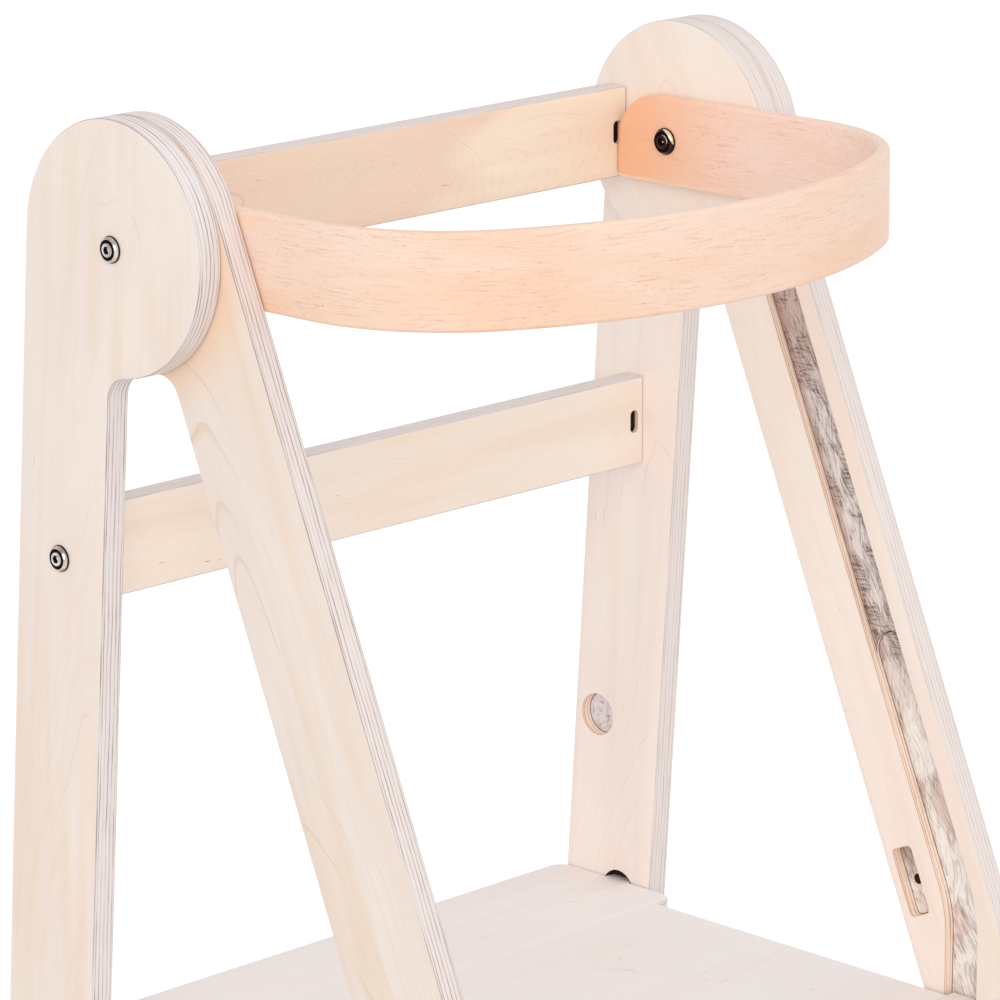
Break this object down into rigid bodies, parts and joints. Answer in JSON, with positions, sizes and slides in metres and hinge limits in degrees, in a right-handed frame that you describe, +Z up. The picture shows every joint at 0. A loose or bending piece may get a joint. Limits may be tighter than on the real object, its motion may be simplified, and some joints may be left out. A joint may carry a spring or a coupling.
{
  "type": "learning tower",
  "caption": "Folding plywood learning tower: side plates hinged at round heads, a platform that tips up between them, a step and a bent safety bar that lifts.",
  "frame": {"origin": "centre of the bounding box's bottom face, on the floor between the four feet", "axes": "+X across the tower, its plane of symmetry at x = 0; -Y the climbing side with the step and the bar's bent front; +Z up"},
  "size_m": [0.4754, 0.569, 0.93],
  "materials": {
    "birch_plywood": "clear satin lacquer on birch plywood, striped edges",
    "beech": "clear satin lacquer on bent beech",
    "chromed_steel": "bright chrome plate",
    "blackened_steel": "dark bronze, glossy",
    "zinc_steel": "zinc plate"
  },
  "bodies": {
    "rear_frame": {"rear_side_plate_left": "birch_plywood", "rear_side_plate_right": "birch_plywood", "middle_rear_rail": "birch_plywood", "lower_rear_rail": "birch_plywood", "pivot_sleeve_nut_left": "chromed_steel", "pivot_screw_left": "blackened_steel", "middle_rear_rail_bolt_left": "chromed_steel", "middle_rear_rail_nut_left": "zinc_steel", "lower_rear_rail_bolt_left": "chromed_steel", "lower_rear_rail_nut_left": "zinc_steel", "pivot_sleeve_nut_right": "chromed_steel", "pivot_screw_right": "blackened_steel", "middle_rear_rail_bolt_right": "chromed_steel", "middle_rear_rail_nut_right": "zinc_steel", "lower_rear_rail_bolt_right": "chromed_steel", "lower_rear_rail_nut_right": "zinc_steel"},
    "front_frame": {"front_side_plate_left": "birch_plywood", "front_side_plate_right": "birch_plywood", "top_rail": "birch_plywood", "step_rail": "birch_plywood", "step_board": "birch_plywood", "top_rail_bolt_left": "chromed_steel", "top_rail_nut_left": "zinc_steel", "step_rail_bolt_left": "chromed_steel", "step_rail_nut_left": "zinc_steel", "step_front_bolt_left": "chromed_steel", "step_front_nut_left": "zinc_steel", "step_rear_bolt_left": "chromed_steel", "step_rear_nut_left": "zinc_steel", "top_rail_bolt_right": "chromed_steel", "top_rail_nut_right": "zinc_steel", "step_rail_bolt_right": "chromed_steel", "step_rail_nut_right": "zinc_steel", "step_front_bolt_right": "chromed_steel", "step_front_nut_right": "zinc_steel", "step_rear_bolt_right": "chromed_steel", "step_rear_nut_right": "zinc_steel"},
    "platform": {"platform_board": "birch_plywood"},
    "safety_bar": {"safety_bar": "beech"}
  },
  "joints": [
    {"name": "main_fold", "type": "hinge", "parent": "rear_frame", "child": "front_frame", "pos_m": [0, 0.15452, 0.86], "axis": [1, 0, 0], "range_deg": [0, 27]},
    {"name": "platform_fold", "type": "hinge", "parent": "rear_frame", "child": "platform", "pos_m": [0, 0.21402, 0.378], "axis": [-1, 0, 0], "range_deg": [0, 71.6]},
    {"name": "safety_bar_lift", "type": "hinge", "parent": "front_frame", "child": "safety_bar", "pos_m": [0, 0.15452, 0.86], "axis": [-1, 0, 0], "range_deg": [0, 105]}
  ],
  "couplings": [
    {"joint": "platform_fold", "follows": "main_fold", "ratio": 2.649}
  ]
}
